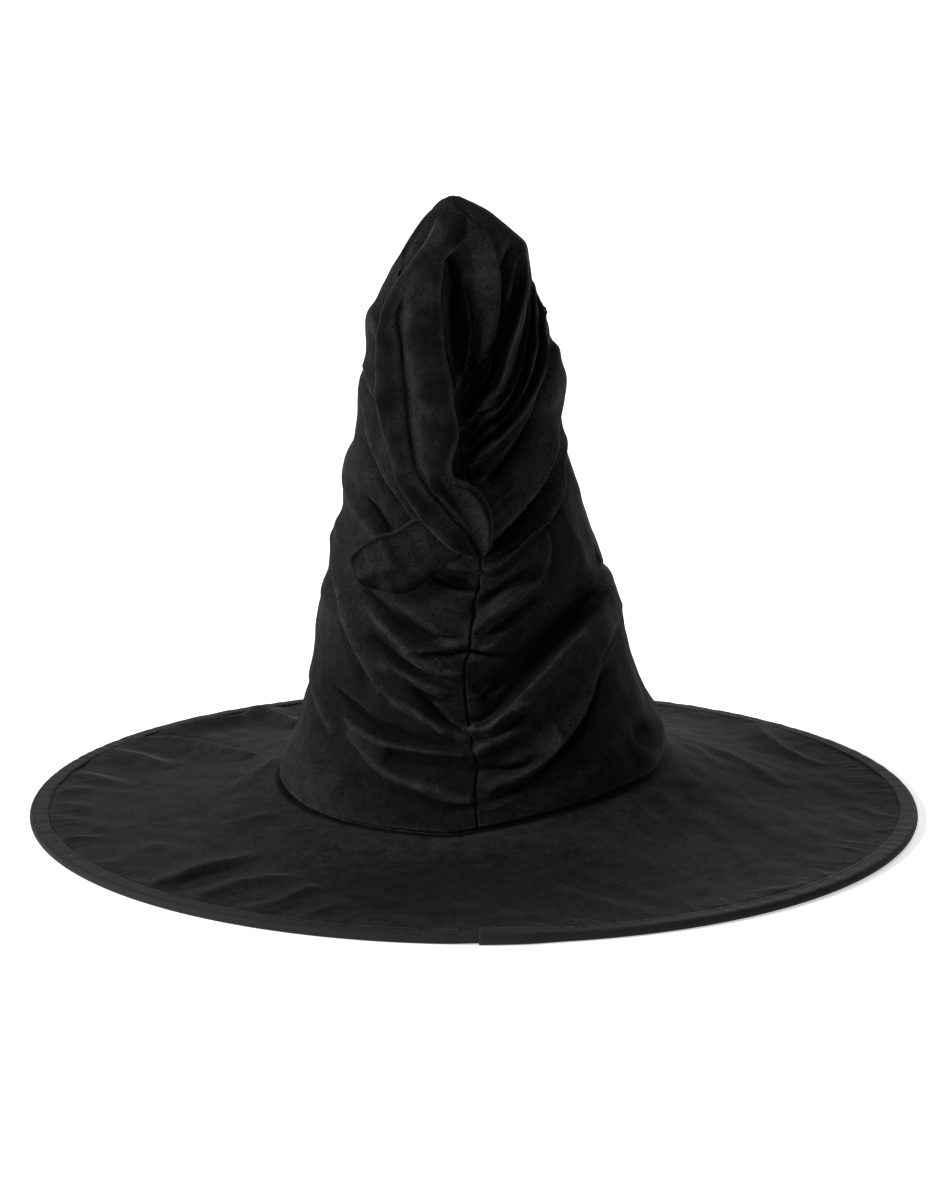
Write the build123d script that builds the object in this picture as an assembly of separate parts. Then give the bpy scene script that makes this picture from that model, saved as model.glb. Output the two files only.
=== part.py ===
"""Soft witch hat, seen with its back seam towards -Y.

A wide flat brim with a bound edge carries a tall slouched crown. The crown's back seam is gathered by an elastic,
which bends the crown backwards, so that its top hangs down behind as a flattened tip. The last of the tip is
folded sideways into a short end. Millimetres, +Z up, origin on the table under the middle of the brim.
"""

from build123d import *
from math import degrees, sqrt
import os

# Driving dimensions
brim_radius = 220.0
head_radius = 90.5
foot_radius = 96.5
brim_rise = 13.6
flat_radius = 205.0

# Cloth, tape, wire and thread
tape = 0.4
lining_cloth = 0.5
velour = 0.9
crown_cloth = 1.4
stiffening = 2.3
gap = 0.05
thread_radius = 0.2
wire_radius = 0.8
wire_ends_apart = 0.4
sleeve_wall = 0.3
sleeve_length = 24.0
binding_width = 9.0

# The sweatband: straight where the head enters, then leaning in with the crown
band_cloth = 0.8
band_straight = 13.0
band_height = 30.0
band_lean = 9.6
band_below_cover = 1.5

# Heights in the edge of the brim, from the table up
underside_base = tape + gap
stiffener_base = underside_base + lining_cloth + gap
cover_base = stiffener_base + stiffening + gap
edge_thickness = cover_base + velour + gap + tape
edge_round = edge_thickness / 2
cover_radius = brim_radius - edge_round - tape
sleeve_radius = wire_radius + sleeve_wall
wire_path_radius = cover_radius - sleeve_radius
wire_height = stiffener_base + stiffening / 2
stiffener_radius = wire_path_radius - sleeve_radius - gap

# The crown as level ellipses: height, centre x, centre y, half width, half depth
foot_height = cover_base + velour + brim_rise + gap
crown_levels = [
    (foot_height, 0, 0, foot_radius, foot_radius - 0.1),
    (foot_height + 10, 0, 0, 95.6, 95.5),
    (46, 0, -1, 87.5, 86.5),
    (98, -2.5, -3, 75.5, 73),
    (139, -6, -6, 65.5, 60),
    (181, -8.5, -13, 55.5, 50),
    (222, -6.5, -24, 49.5, 42),
    (263, -8, -36, 39, 31),
    (292, -7, -45, 25, 18),
    (310, -9, -49, 8, 5),
]
lining_top = 256.0

# The gathering elastic behind the back seam, and the heights of the tacks that hold it
elastic_width = 8.0
elastic_cloth = 0.8
elastic_low = 58.0
elastic_high = 286.0
tack_heights = (60, 98, 142, 199, 284)
tack_height = 1.2
seam_low = 24.0
seam_high = 292.0

# How deep each layer of the crown lies under its outer face
seam_inset = crown_cloth + gap
elastic_inset = seam_inset + 2 * thread_radius + gap
tack_inset = elastic_inset + elastic_cloth + gap
lining_inset = tack_inset + 2 * thread_radius + gap

# The hanging tip in the same form as the crown, from its bend down
tip_levels = [
    (291, -20, -69.5, 9, 2.5),
    (284, -23, -73, 18, 6.5),
    (262, -28, -76.5, 20.5, 10),
    (225, -27, -77.5, 20.5, 11),
    (195, -22, -75.5, 17, 10.5),
    (170, -12, -74.5, 14, 8.5),
    (156, -3, -75, 9, 5),
    (149, 1, -75, 3, 2),
]

# The folded end as upright ellipses towards -X: x, y, height, half height, half depth
end_levels = [
    (-15, -71, 145, 8, 4),
    (-30, -69, 144, 14, 6),
    (-48, -63.5, 139.5, 12, 5.5),
    (-56, -61, 137.5, 5, 2.5),
]

# The label sewn inside the crown on the left, and its two stitched corners
label_width = 24.0
label_height = 38.0
label_cloth = 0.3
label_place = (-74, 0, 68)
label_lean = 13.0
label_tack = 2.0


def rise(radius):
    """How far the brim has climbed at a radius, along an arc that leaves the flat rim level."""
    run = flat_radius - foot_radius
    bend = (run**2 + brim_rise**2) / (2 * brim_rise)
    inward = max(0.0, flat_radius - radius)
    return bend - sqrt(bend**2 - inward**2)


def at(radius, height):
    return (radius, 0, height)


def turned(outline):
    """A closed outline in the XZ plane, turned about the hat's axis."""
    return revolve(make_face(outline), Axis.Z)


def below(height):
    """The space under a height."""
    return Pos(0, 0, height - 500) * Box(1000, 1000, 1000)


def brim_layer(inner, outer, base, thickness):
    """One layer of the brim, level at the rim and rising to the crown."""
    low, high = base, base + thickness
    lift = rise(inner)
    return turned(
        [
            Line(at(outer, low), at(flat_radius, low)),
            TangentArc(at(flat_radius, low), at(inner, low + lift), tangent=(-1, 0, 0)),
            Line(at(inner, low + lift), at(inner, high + lift)),
            TangentArc(at(flat_radius, high), at(inner, high + lift), tangent=(-1, 0, 0)),
            Line(at(flat_radius, high), at(outer, high)),
            Line(at(outer, high), at(outer, low)),
        ]
    )


def brim_binding():
    """The tape folded round the edge of the brim, flat underneath."""
    start, bend = brim_radius - binding_width, brim_radius - edge_round
    top, inside = edge_thickness, edge_round - tape
    return turned(
        [
            Line(at(start, 0), at(bend, 0)),
            ThreePointArc(at(bend, 0), at(brim_radius, edge_round), at(bend, top)),
            Line(at(bend, top), at(start, top)),
            Line(at(start, top), at(start, top - tape)),
            Line(at(start, top - tape), at(bend, top - tape)),
            ThreePointArc(at(bend, top - tape), at(bend + inside, edge_round), at(bend, tape)),
            Line(at(bend, tape), at(start, tape)),
            Line(at(start, tape), at(start, 0)),
        ]
    )


def thread_ring(radius, height):
    """A row of stitches round the hat, as one ring of thread."""
    return Pos(0, 0, height) * Torus(radius, thread_radius)


def hoop_wire():
    """The spring wire in the edge, with its two ends facing each other at the back."""
    ring = Pos(0, 0, wire_height) * Torus(wire_path_radius, wire_radius)
    return ring - Pos(0, -wire_path_radius, wire_height) * Box(wire_ends_apart, 4, 4)


def hoop_sleeve():
    """The crimped tube over the wire's two ends."""
    turn = degrees(sleeve_length / wire_path_radius)
    section = Circle(sleeve_radius) - Circle(wire_radius + 0.01)
    tube = revolve(Plane.XZ * Pos(wire_path_radius, wire_height) * section, Axis.Z, revolution_arc=turn)
    return Rot(0, 0, -90 - turn / 2) * tube


def sweatband():
    low = rise(head_radius) + underside_base - band_below_cover
    bend, top = low + band_straight, low + band_height
    outline = Polyline(
        at(head_radius, low),
        at(head_radius, bend),
        at(head_radius - band_lean, top),
        at(head_radius - band_lean + band_cloth, top),
        at(head_radius + band_cloth, bend),
        at(head_radius + band_cloth, low),
        close=True,
    )
    return turned(outline)


def crown_solid(inset):
    """All the space inside the crown's outer face moved in by a distance."""
    top = crown_levels[-1][0]
    sections = []
    for height, x, y, width, depth in crown_levels:
        level = height - inset if height == top else height
        sections.append(Pos(x, y, level) * Ellipse(width - inset, depth - inset))
    return loft(sections)


def crown_layer(inset, thickness):
    """A cloth layer of the crown, open at the foot and closed at the top."""
    return crown_solid(inset) - crown_solid(inset + thickness)


def crown_lining():
    """The lining, which ends flat where the crown becomes too narrow to line."""
    outside = crown_solid(lining_inset) & below(lining_top)
    return outside - (crown_solid(lining_inset + lining_cloth) & below(lining_top - lining_cloth))


def back_strip(inset, thickness, width, low, high):
    """A strip of a crown layer along the back seam."""
    behind = 200
    window = Pos(0, -behind / 2 - 30, (low + high) / 2) * Box(width, behind, high - low)
    return crown_layer(inset, thickness) & window


def elastic_tack(height):
    """One bar tack across the elastic, on its inner face."""
    half = tack_height / 2
    return back_strip(tack_inset, 2 * thread_radius, elastic_width - 2, height - half, height + half)


def crown_tip():
    """The hanging tip, a flattened closed form."""
    return loft([Pos(x, y, z) * Ellipse(width, depth) for z, x, y, width, depth in tip_levels])


def tip_end():
    """The folded end, from its crease to its rounded point."""
    return loft([Pos(x, y, z) * Rot(0, 90, 0) * Ellipse(height, depth) for x, y, z, height, depth in end_levels])


def on_label(x, z, solid):
    """A solid set on the label, across from its middle and up."""
    return Pos(*label_place) * Rot(0, label_lean, 0) * Rot(0, 0, 90) * Pos(x, 0, z) * solid


def care_label():
    return on_label(0, 0, Box(label_width, label_cloth, label_height))


def label_stitches():
    """A bar of thread behind each upper corner of the label, towards the lining."""
    x, z = label_width / 2 - label_tack, label_height / 2 - label_tack
    behind = label_cloth / 2 + gap + thread_radius
    bar = Pos(0, behind, 0) * Box(label_tack, 2 * thread_radius, 2 * thread_radius)
    return [on_label(side * x, z, bar) for side in (-1, 1)]


parts = {
    "brim_top_cover": [brim_layer(foot_radius - 3, cover_radius, cover_base, velour)],
    "brim_stiffener": [brim_layer(foot_radius - 2, stiffener_radius, stiffener_base, stiffening)],
    "brim_underside_cover": [brim_layer(head_radius + 1.2, cover_radius, underside_base, lining_cloth)],
    "brim_hoop_wire": [hoop_wire()],
    "hoop_joining_sleeve": [hoop_sleeve()],
    "brim_binding": [brim_binding()],
    "binding_thread": [thread_ring(brim_radius - binding_width + 1.4, edge_thickness + thread_radius)],
    "crown_shell": [crown_layer(0, crown_cloth)],
    "crown_seam_thread": [thread_ring(head_radius + 1.4, foot_height + 2)],
    "back_seam_thread": [back_strip(seam_inset, 2 * thread_radius, 1.0, seam_low, seam_high)],
    "gathering_elastic": [back_strip(elastic_inset, elastic_cloth, elastic_width, elastic_low, elastic_high)],
    "elastic_tacks": [elastic_tack(height) for height in tack_heights],
    "crown_lining": [crown_lining()],
    "sweatband": [sweatband()],
    "care_label": [care_label()],
    "label_stitches": label_stitches(),
    "crown_tip": [crown_tip()],
    "tip_end": [tip_end()],
}

os.makedirs("parts", exist_ok=True)
for name, pieces in parts.items():
    solids = [solid for piece in pieces for solid in piece.solids()]
    shape = solids[0] if len(solids) == 1 else Compound(children=solids)
    export_step(shape, f"parts/{name}.step")
    print(name, "solids", len(solids), "volume", round(shape.volume, 1))
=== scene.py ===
# A soft black witch hat, seen from behind: gathered crown, hanging folded tip, bound brim.
import math

import bpy
import numpy as np
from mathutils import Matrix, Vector


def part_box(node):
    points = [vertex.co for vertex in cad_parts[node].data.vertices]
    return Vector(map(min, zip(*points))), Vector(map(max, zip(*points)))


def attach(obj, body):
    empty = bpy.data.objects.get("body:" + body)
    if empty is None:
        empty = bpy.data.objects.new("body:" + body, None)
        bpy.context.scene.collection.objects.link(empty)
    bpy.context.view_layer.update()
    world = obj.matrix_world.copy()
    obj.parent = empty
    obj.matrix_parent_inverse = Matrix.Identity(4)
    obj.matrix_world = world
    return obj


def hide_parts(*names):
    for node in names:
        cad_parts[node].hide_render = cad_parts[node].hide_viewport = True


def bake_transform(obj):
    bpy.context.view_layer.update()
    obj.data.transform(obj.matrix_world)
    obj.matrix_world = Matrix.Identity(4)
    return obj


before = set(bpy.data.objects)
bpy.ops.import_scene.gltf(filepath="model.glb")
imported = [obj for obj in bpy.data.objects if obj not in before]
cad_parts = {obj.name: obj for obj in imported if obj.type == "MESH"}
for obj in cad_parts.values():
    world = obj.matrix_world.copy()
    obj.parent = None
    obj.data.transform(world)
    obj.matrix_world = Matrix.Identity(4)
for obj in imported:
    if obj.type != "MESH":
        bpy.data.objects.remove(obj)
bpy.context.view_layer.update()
mm = 0.001


# Shared helpers: curves, meshes, folds


def through(xs, ys, x):
    # a smooth curve through a few given values, with no overshoot between them
    xs, ys = np.asarray(xs, float), np.asarray(ys, float)
    x = np.clip(x, xs[0], xs[-1])
    step = np.diff(xs)
    slope = np.diff(ys) / step
    same = slope[:-1] * slope[1:] > 0
    tangent = np.empty_like(ys)
    tangent[0], tangent[-1] = slope[0], slope[-1]
    tangent[1:-1] = np.where(same, 2 * slope[:-1] * slope[1:] / np.where(same, slope[:-1] + slope[1:], 1), 0)
    i = np.clip(np.searchsorted(xs, x, side="right") - 1, 0, len(xs) - 2)
    t = (x - xs[i]) / step[i]
    left = ys[i] * (2 * t**3 - 3 * t**2 + 1) + tangent[i] * step[i] * (t**3 - 2 * t**2 + t)
    return left + ys[i + 1] * (3 * t**2 - 2 * t**3) + tangent[i + 1] * step[i] * (t**3 - t**2)


def flowing(points, count):
    # evenly spaced points on a smooth line through the given ones
    points = np.asarray(points, float)
    padded = np.vstack([2 * points[0] - points[1], points, 2 * points[-1] - points[-2]])
    t = np.linspace(0, 1, 12, endpoint=False)[:, None]
    fine = []
    for i in range(len(points) - 1):
        a, b, c, d = padded[i : i + 4]
        slope, square, cube = c - a, 2 * a - 5 * b + 4 * c - d, 3 * b - a - 3 * c + d
        fine.append(0.5 * (2 * b + slope * t + square * t**2 + cube * t**3))
    fine = np.vstack(fine + [points[-1:]])
    along = np.concatenate([[0], np.cumsum(np.linalg.norm(np.diff(fine, axis=0), axis=1))])
    at = np.linspace(0, along[-1], count)
    return np.stack([np.interp(at, along, fine[:, k]) for k in range(fine.shape[1])], 1)


def smoothStep(x, low, high):
    t = np.clip((x - low) / (high - low), 0, 1)
    return t * t * (3 - 2 * t)


def unit(v):
    return v / np.maximum(np.linalg.norm(v, axis=-1, keepdims=True), 1e-9)


def ripples(points, scale, seed, waves=16):
    # soft irregular waves through space, about -1 to 1, always the same for one seed
    chance = np.random.RandomState(seed)
    total = np.zeros(points.shape[:-1])
    for _ in range(waves):
        way = unit(chance.normal(size=3)) * 2 * math.pi / (scale * chance.uniform(0.7, 1.6))
        total += np.sin(points @ way + chance.uniform(0, 2 * math.pi))
    return total / math.sqrt(waves)


def waved(points, waves):
    # ripples of several sizes together, each a rise, a scale and a seed
    return sum(rise * ripples(points, scale, seed) for rise, scale, seed in waves)


def meshFrom(name, vertices, faces):
    mesh = bpy.data.meshes.new(name)
    mesh.from_pydata(np.asarray(vertices, float).tolist(), [], faces)
    mesh.validate()
    mesh.shade_smooth()
    piece = bpy.data.objects.new(name, mesh)
    bpy.context.scene.collection.objects.link(piece)
    return piece


def gridFaces(rows, columns, closedAcross=True):
    # quads over a grid of points, row by row, facing outwards when rows go up and columns go left to right
    faces = []
    for i in range(rows - 1):
        for j in range(columns if closedAcross else columns - 1):
            k = (j + 1) % columns
            faces.append((i * columns + j, i * columns + k, (i + 1) * columns + k, (i + 1) * columns + j))
    return faces


def clothSolid(name, outer, inner):
    # a closed ring of cloth with two faces and finished edges, from two grids of points
    rows, columns = outer.shape[:2]
    count, base = rows * columns, (rows - 1) * columns
    faces = gridFaces(rows, columns)
    faces += [tuple(v + count for v in face[::-1]) for face in gridFaces(rows, columns)]
    for j in range(columns):
        k = (j + 1) % columns
        faces.append((j, j + count, k + count, k))
        faces.append((base + k, base + k + count, base + j + count, base + j))
    return meshFrom(name, np.vstack([outer.reshape(-1, 3), inner.reshape(-1, 3)]), faces)


def linedCloth(name, outer, inner):
    # like clothSolid, but its hidden inner face has half the rows and columns of the outer one
    rows, columns = outer.shape[:2]
    innerRows, innerColumns = inner.shape[:2]
    count, base, innerBase = rows * columns, (rows - 1) * columns, (innerRows - 1) * innerColumns
    faces = gridFaces(rows, columns)
    faces += [tuple(v + count for v in face[::-1]) for face in gridFaces(innerRows, innerColumns)]
    for j in range(innerColumns):
        k = (j + 1) % innerColumns
        a, b, c = 2 * j, 2 * j + 1, (2 * j + 2) % columns
        faces.append((a, j + count, k + count, c, b))
        faces.append((base + b, base + c, innerBase + k + count, innerBase + j + count, base + a))
    return meshFrom(name, np.vstack([outer.reshape(-1, 3), inner.reshape(-1, 3)]), faces)


def paintPileLight(piece, shade):
    # painted shade and painted highlight at each point, taken into the velour's colour; points past the
    # given ones are inner faces, painted dark
    values = np.full(len(piece.data.vertices), 0.9)
    values[: shade.size] = shade.ravel()
    piece.data.attributes.new("paintedShadeAndHighlight", "FLOAT", "POINT").data.foreach_set("value", values)


def spread(grid, steps):
    # the cloth's wider shape, without its smaller folds
    broad = grid.copy()
    for step in steps:
        ends = np.clip(np.arange(len(grid))[:, None] + [-step, step], 0, len(grid) - 1)
        sides = np.roll(broad, step, 1) + np.roll(broad, -step, 1)
        beside = sides / 4 + (broad[ends[:, 0]] + broad[ends[:, 1]]) / 4
        broad = broad * 0.4 + beside * 0.6
    return broad


def paintedFoldLight(grid, outward, depth, strength, paintedDarkening=0.0, crest=(0.6, 2.2), edge=(0.15, 0.6)):
    # painted shade down in a fold, less of it along a crest, and a painted highlight on a sharp edge
    below = ((spread(grid, (1, 2, 4, 8, 12, 8, 4)) - grid) * outward).sum(-1)
    paintedFoldShade = np.maximum(strength * smoothStep(below, 0.0, depth), paintedDarkening)
    paintedFoldShade = paintedFoldShade * (1 - 0.75 * smoothStep(-below, *crest))
    sharp = ((grid - spread(grid, (1, 2, 3, 2))) * outward).sum(-1)
    return paintedFoldShade - 0.4 * smoothStep(sharp, *edge)


def paintedShadePlaces(across, up, places):
    # places painted darker, as painted shade:
    # middle, half length, half width, turn in degrees, how much
    total = np.zeros(across.shape)
    for (x, y), long, wide, turn, amount in places:
        turn = math.radians(turn)
        along = (across - x) * math.sin(turn) + (up - y) * math.cos(turn)
        aside = (across - x) * math.cos(turn) - (up - y) * math.sin(turn)
        total = np.maximum(total, amount * (1 - smoothStep(np.hypot(along / long, aside / wide), 0.6, 1.25)))
    return total


def gridNormals(grid):
    across = np.roll(grid, -1, 1) - np.roll(grid, 1, 1)
    return unit(np.cross(across, np.gradient(grid, axis=0)))


def relax(grid, times, keepRows=1):
    # lets neighbouring folds run softly into each other
    for _ in range(times):
        side = (np.roll(grid, 1, 1) + np.roll(grid, -1, 1)) / 2
        mixed = grid.copy()
        mixed[1:-1] = grid[1:-1] * 0.4 + side[1:-1] * 0.3 + (grid[2:] + grid[:-2]) * 0.15
        mixed[:keepRows] = grid[:keepRows]
        grid = mixed
    return grid


def pressFolds(grid, normals, folds, strength=1.0):
    # Each fold is a line on the cloth with a rise, a width on its left and right hands, and a lean over its
    # right. Drawn down the hat, its left hand is +X; drawn towards +X, its left hand is up.
    # The cloth tucks in on the steep side.
    places = grid.reshape(-1, 3)
    outward = normals.reshape(-1, 3)
    moved = np.zeros_like(places)
    for line, rise, left, right, lean in folds:
        reach = 3.2 * max(left, right) + 1
        low, high = line.min(0) - reach, line.max(0) + reach
        near = np.flatnonzero(np.all((places > low) & (places < high), axis=1))
        if not len(near):
            continue
        away = places[near][:, None, :] - line[None, :, :]
        nearest = np.argmin((away**2).sum(2), axis=1)
        gap = away[np.arange(len(near)), nearest]
        along = unit(np.gradient(line, axis=0))[nearest]
        side = unit(np.cross(outward[near], along))
        across = (gap * side).sum(1)
        beyond = (nearest == 0) | (nearest == len(line) - 1)
        past = np.where(beyond, np.abs((gap * along).sum(1)), 0)
        share = (nearest + (gap * along).sum(1) / np.linalg.norm(line[1] - line[0])) / (len(line) - 1)
        fade = np.sin(np.pi * np.clip(share * 0.86 + 0.07, 0.07, 0.93)) ** 0.6 * np.exp(-((past / 3) ** 2))
        apart = across / np.where(across > 0, left, right)
        bump = np.exp(-np.abs(apart) ** 1.7)
        if rise > 0 and max(left, right) > 1.5 * min(left, right):
            steep = apart if left < right else -apart
            bump = bump - 0.5 * np.exp(-(((steep - 2.1) / 1.15) ** 2))
        bump = bump * fade * strength
        lifted = outward[near] * (rise * bump)[:, None]
        moved[near] += lifted - side * (lean * np.maximum(bump, 0) ** 1.5)[:, None]
    return grid + moved.reshape(grid.shape)


# Crown

crown = {
    # height, left edge, right edge, back and front of the level outline, in mm
    "levels": [
        (17, -96.5, 96.5, -96.4, 96.4),
        (24, -95.5, 95.8, -95.0, 95.4),
        (34, -92, 93.5, -92, 92),
        (45, -87, 88.5, -88, 86),
        (57, -83.5, 84, -84.5, 81),
        (68, -80.5, 80.5, -81.5, 77),
        (90, -79, 75, -77.5, 71),
        (106, -76, 71, -73.5, 65),
        (118, -72.5, 69, -70.5, 61),
        (124, -70.5, 65, -69, 59),
        (140, -70, 59, -66, 54),
        (154, -64.5, 54.5, -64, 49),
        (165, -64, 51, -63.5, 44),
        (177, -64, 47.5, -63.5, 39),
        (192, -57.5, 44, -64.5, 33),
        (207, -55.5, 41.5, -66, 26),
        (220, -55, 43, -67, 19),
        (235, -52, 40.5, -67.5, 11),
        (250, -52, 35.5, -68, 3),
        (262, -46, 30.5, -67.5, -5),
        (275, -39.5, 27.5, -66, -14),
        (289, -31, 24.5, -63.5, -25),
        (297, -26, 17, -61, -31),
        (304, -21.5, 8.5, -58, -37),
        (309, -15.5, 1, -54.5, -42),
        (312.2, -9.5, -6.5, -50, -47),
    ],
    # height of the foot round the crown, by angle from the back seam, towards +X
    "foot": [
        (-180, 24), (-135, 20), (-90, 17.5), (-45, 14.5), (-8, 14), (3, 17),
        (30, 24.5), (60, 29.5), (90, 31.5), (135, 28), (180, 24),
    ],
    "footTurn": 2.2,
    "liftFades": 95,
    "columns": 560,
    "rows": 441,
    "crowding": 0.7,
    "thick": 1.1,
    "waves": [(0.55, 34, 3), (0.3, 15, 4)],
    # the back seam in (x, height), and how deep and wide it is pulled in
    "seam": [
        (2, 16), (1, 33), (1, 49), (-2, 65), (-4, 78), (-4, 92), (-2, 100), (-1, 112), (1, 122),
        (3, 141), (2, 160), (-2, 180), (-6, 199), (-8, 219), (-10, 240), (-12, 262), (-13, 284),
    ],
    "seamDepth": 2.2,
    "seamWide": 0.6,
    # folds that are seen on the back: line in (x, height), rise, width on its left hand and right hand, lean
    "folds": [
        ([(-14, 311), (-18, 303), (-22, 292), (-28, 284), (-33, 277)], 3.2, 14, 1.8, 1.5),
        ([(-20, 307), (-28, 297), (-33, 287), (-34, 278), (-36, 268)], 2.2, 1.6, 7, -1),
        ([(-51, 258), (-45, 250), (-42, 243)], 1.8, 2.5, 4, 0),
        ([(-54, 231), (-50, 224), (-45, 216)], 2.2, 4, 2, 0.6),
        ([(-55, 215), (-50, 202), (-42, 185), (-34, 171), (-24, 158)], 2.6, 8, 2.4, 1),
        ([(19, 290), (17, 282), (14, 270), (12, 256), (8, 242), (0, 228)], -7, 3, 3.6, 0),
        ([(23, 288), (23.5, 278), (20.5, 258), (16.5, 241), (11, 224), (-1, 208)], 4.6, 3.4, 1.4, 1),
        ([(29, 268), (28.5, 254), (27, 240), (20, 217), (4, 197)], 3.6, 2.4, 1.3, 0.8),
        ([(33, 262), (33.5, 250), (32, 238), (26, 221), (12, 200), (-1, 187)], 4.0, 2.6, 1.3, 0.8),
        ([(25.5, 262), (24, 244), (17, 222), (2, 203)], 2.4, 1.3, 1.1, 0.3),
        ([(10, 251), (8, 241), (1, 227), (-8, 218)], 2.2, 1.2, 1.1, 0),
        ([(38.5, 250), (37, 232), (32, 213), (24, 196), (9, 180)], -6, 3.4, 3.4, 0),
        ([(44, 238), (44, 220), (40, 205), (34, 191), (28, 178), (18, 164), (6, 152)], 4.4, 2.4, 11, -2),
        ([(43, 196), (37, 180), (30, 169), (19, 157), (8, 144)], -4, 5, 3, 0),
        ([(45, 194), (43, 181), (40, 171), (32, 160), (23, 153), (12, 143), (3, 137)], 4, 2.4, 6, -1.6),
        ([(6, 294), (9, 282), (10, 264), (8.5, 248), (3, 234), (-6, 222)], 4.2, 1.8, 7, -1.2),
        ([(13, 262), (12, 250), (9, 240), (3, 227)], 2.2, 1.2, 1.4, -0.4),
        ([(-6, 274), (-3, 258), (-3.5, 243), (-7, 231), (-11, 222)], 3.4, 1.6, 5, -1),
        ([(16, 262), (15, 248), (12, 236), (4, 219)], -3.4, 1.8, 1.8, 0),
        ([(33, 159), (27, 151), (12, 141), (3, 134)], 2.2, 5, 3, 0),
        ([(31, 158), (35, 146), (34, 134)], 1.6, 2, 3.5, -0.3),
        ([(36, 127), (19, 115), (4, 107)], -3.6, 4, 4, 0),
        ([(33, 130), (20, 124), (9, 117), (0, 108)], 3, 5, 3, 0),
        ([(-28, 96), (-11, 98), (-2, 100), (7, 98), (25, 97)], -4.0, 1.2, 1.4, 0),
        ([(-22, 101), (-10, 102), (-2, 103), (10, 101)], 1.2, 1.8, 1.8, 0),
        ([(66, 126), (54, 116), (38, 103), (23, 91), (6, 78)], -7, 5, 13, 0),
        ([(67, 117), (57, 108), (41, 93), (27, 80), (10, 65), (-2, 61)], 4.6, 12, 2.4, 2),
        ([(71, 106), (58, 91), (50, 70), (41, 57), (28, 45), (8, 36)], 4.2, 2.6, 8, -1.0),
        ([(71, 92), (58, 70), (48, 52), (33, 39)], -3.4, 8, 4, 0),
        ([(0, 46), (17, 45), (31, 49)], -4, 2.4, 2.4, 0),
        ([(34, 67), (37, 58), (36, 50)], 1.8, 2, 2.4, 0),
        ([(-2, 62), (7, 61), (14, 66), (26, 73)], 3.2, 3, 1.8, 0),
        ([(2, 53), (12, 58), (21, 61)], 3.2, 3, 3, 0),
        ([(77, 47), (95, 34)], -3.5, 7, 5, 0),
        ([(40, 160), (49, 142), (58, 124)], 2, 8, 9, 0),
        ([(-65, 175), (-59, 165), (-51, 156), (-44, 148)], 2.8, 3, 4, 0.8),
        ([(-51, 165), (-44, 156), (-39, 149)], -3.6, 3, 3, 0),
        ([(-66, 152), (-68, 130), (-63, 116), (-58, 102), (-50, 87), (-45, 79)], 2.6, 5, 2.6, 0.8),
        ([(-75, 117), (-70, 107), (-70, 95)], 1.6, 3, 3, 0),
        ([(-82, 78), (-75, 63), (-69, 53)], 2.2, 5, 3, 0.5),
        ([(-71, 141), (-64, 155)], 1.8, 3, 3, 0),
        ([(-53, 123), (-39, 113), (-28, 106), (-12, 99)], -3.4, 2.6, 3, 0),
        ([(-48, 102), (-37, 95), (-27, 90), (-15, 86)], -3.2, 2.4, 2.4, 0),
        ([(-38, 87), (-25, 80), (-13, 75)], -3, 1.8, 2, 0),
        ([(-51, 114), (-37, 103), (-27, 96), (-17, 91)], 2.4, 3.4, 3, 0),
        ([(-43, 90), (-29, 83), (-14, 79)], 2.2, 3.2, 3, 0),
        ([(-43, 78), (-29, 68), (-12, 62)], 2.4, 4, 3.4, 0),
        ([(-72, 74), (-52, 64), (-34, 58), (-8, 54)], -3.8, 2.8, 3.6, 0),
        ([(-62, 60), (-45, 54), (-25, 51.5), (-7, 51)], 2.6, 3.2, 2.8, 0),
        ([(-39, 49), (-19, 48), (0, 46)], -4.4, 2.6, 3.4, 0),
        ([(-59, 54), (-47, 44), (-33, 38), (-17, 34), (-3, 31)], 3.2, 5, 3.6, 0.4),
        ([(-55, 36), (-37, 30), (-21, 27), (-4, 26)], -2.6, 2.4, 3, 0),
        ([(-78, 36), (-66, 39)], -1.6, 3, 3, 0),
        ([(-37, 116), (-19, 106), (-6, 106)], -2.6, 1.5, 1.7, 0),
        ([(-27, 79), (-15, 68), (-4, 61)], -3.4, 1.6, 1.8, 0),
        ([(-31, 73), (-18, 65), (-5, 58.5)], 2.2, 2, 2, 0),
        ([(-34, 97), (-20, 89.5), (-6, 89)], 2.0, 1.8, 1.8, 0),
        ([(-13, 290), (-11, 270), (-9, 250), (-7, 232), (-5, 212)], -4, 3, 3, 0),
        ([(-9, 288), (-6, 262), (-3, 240), (0, 220), (1, 200), (0, 184)], -6.5, 8, 9, 0),
        ([(-20, 139), (-10, 139), (0, 137)], 3.6, 6, 3, 0),
        ([(-21, 132), (-9, 128.5), (1, 128)], -2.6, 2, 2, 0),
    ],
    # painted shade: places on the back of the crown painted darker
    "paintedDarkening": [
        ((14, 230), 58, 21, 17, 0.95),
        ((-7, 252), 34, 5, -3, 0.93),
        ((-47, 225), 60, 7, 6, 0.5),
        ((-26, 292), 22, 6, 40, 0.5),
        ((22, 88), 36, 10, 46, 0.8),
        ((30, 120), 70, 30, -14, 0.42),
        ((45, 60), 60, 30, -20, 0.3),
        ((-30, 60), 60, 58, 0, 0.68),
        ((-42, 135), 50, 36, 0, 0.35),
        ((84, 44), 12, 9, -50, 0.85),
        ((-10, 130), 16, 30, 60, 0.4),
    ],
    "farFolds": 16,
    "foldStrength": 1.5,
    # how deep a valley may go, by height, and the shares of that before and after it slows down
    "room": [(0, 1.6), (42, 1.6), (75, 6.5), (150, 6.5), (190, 12), (320, 12)],
    "freeShare": 0.6,
    "slowShare": 0.4,
    "quietSides": 0.6,
    # painted shade in a band along the foot, where the crown turns in
    "footShade": 0.95,
}


def crownEdges(height):
    heights = [level[0] for level in crown["levels"]]
    return [through(heights, [level[k] for level in crown["levels"]], height) for k in (1, 2, 3, 4)]


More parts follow.
